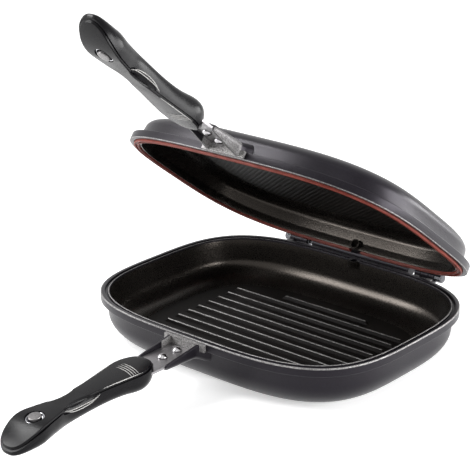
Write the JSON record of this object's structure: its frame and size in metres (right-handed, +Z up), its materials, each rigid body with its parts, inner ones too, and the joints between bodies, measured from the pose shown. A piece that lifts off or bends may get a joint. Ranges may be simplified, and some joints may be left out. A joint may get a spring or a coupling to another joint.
{
  "type": "double sided flip pan",
  "caption": "Two hinged rounded-square grill pans with a ribbed base, a red silicone rim seal and black grips with magnet catches, shown half open.",
  "frame": {"origin": "middle of the base pan's flat underside", "axes": "+Z up, +X along the hinge line, the handles point to -Y and the hinge is at +Y"},
  "size_m": [0.2898, 0.4288, 0.3167],
  "materials": {
    "casting": "dark grey non-stick coating, satin",
    "silicone": "terracotta red silicone",
    "stainless": "stainless steel",
    "phenolic": "glossy black phenolic",
    "plated": "bright plating",
    "magnetic": "nickel-plated magnet",
    "pin_steel": "steel"
  },
  "bodies": {
    "base": {"lower_pan": "casting", "lower_tang": "stainless", "lower_front_rivet": "stainless", "lower_rear_rivet": "stainless", "lower_grip_shell": "phenolic", "lower_grip_face": "phenolic", "lower_magnet_cup": "plated", "lower_magnet": "magnetic", "lower_grip_screw": "stainless", "lower_grip_nut": "stainless", "left_hinge_pin": "pin_steel", "right_hinge_pin": "pin_steel", "left_hinge_clip": "pin_steel", "right_hinge_clip": "pin_steel"},
    "lid": {"upper_pan": "casting", "upper_tang": "stainless", "upper_front_rivet": "stainless", "upper_rear_rivet": "stainless", "upper_grip_shell": "phenolic", "upper_grip_face": "phenolic", "upper_magnet_cup": "plated", "upper_magnet": "magnetic", "upper_grip_screw": "stainless", "upper_grip_nut": "stainless", "silicone_gasket": "silicone"}
  },
  "joints": [
    {"name": "lid_hinge", "type": "hinge", "parent": "base", "child": "lid", "pos_m": [0, 0.12, 0.0416], "axis": [-1, 0, 0], "range_deg": [-36.7, 60]}
  ]
}
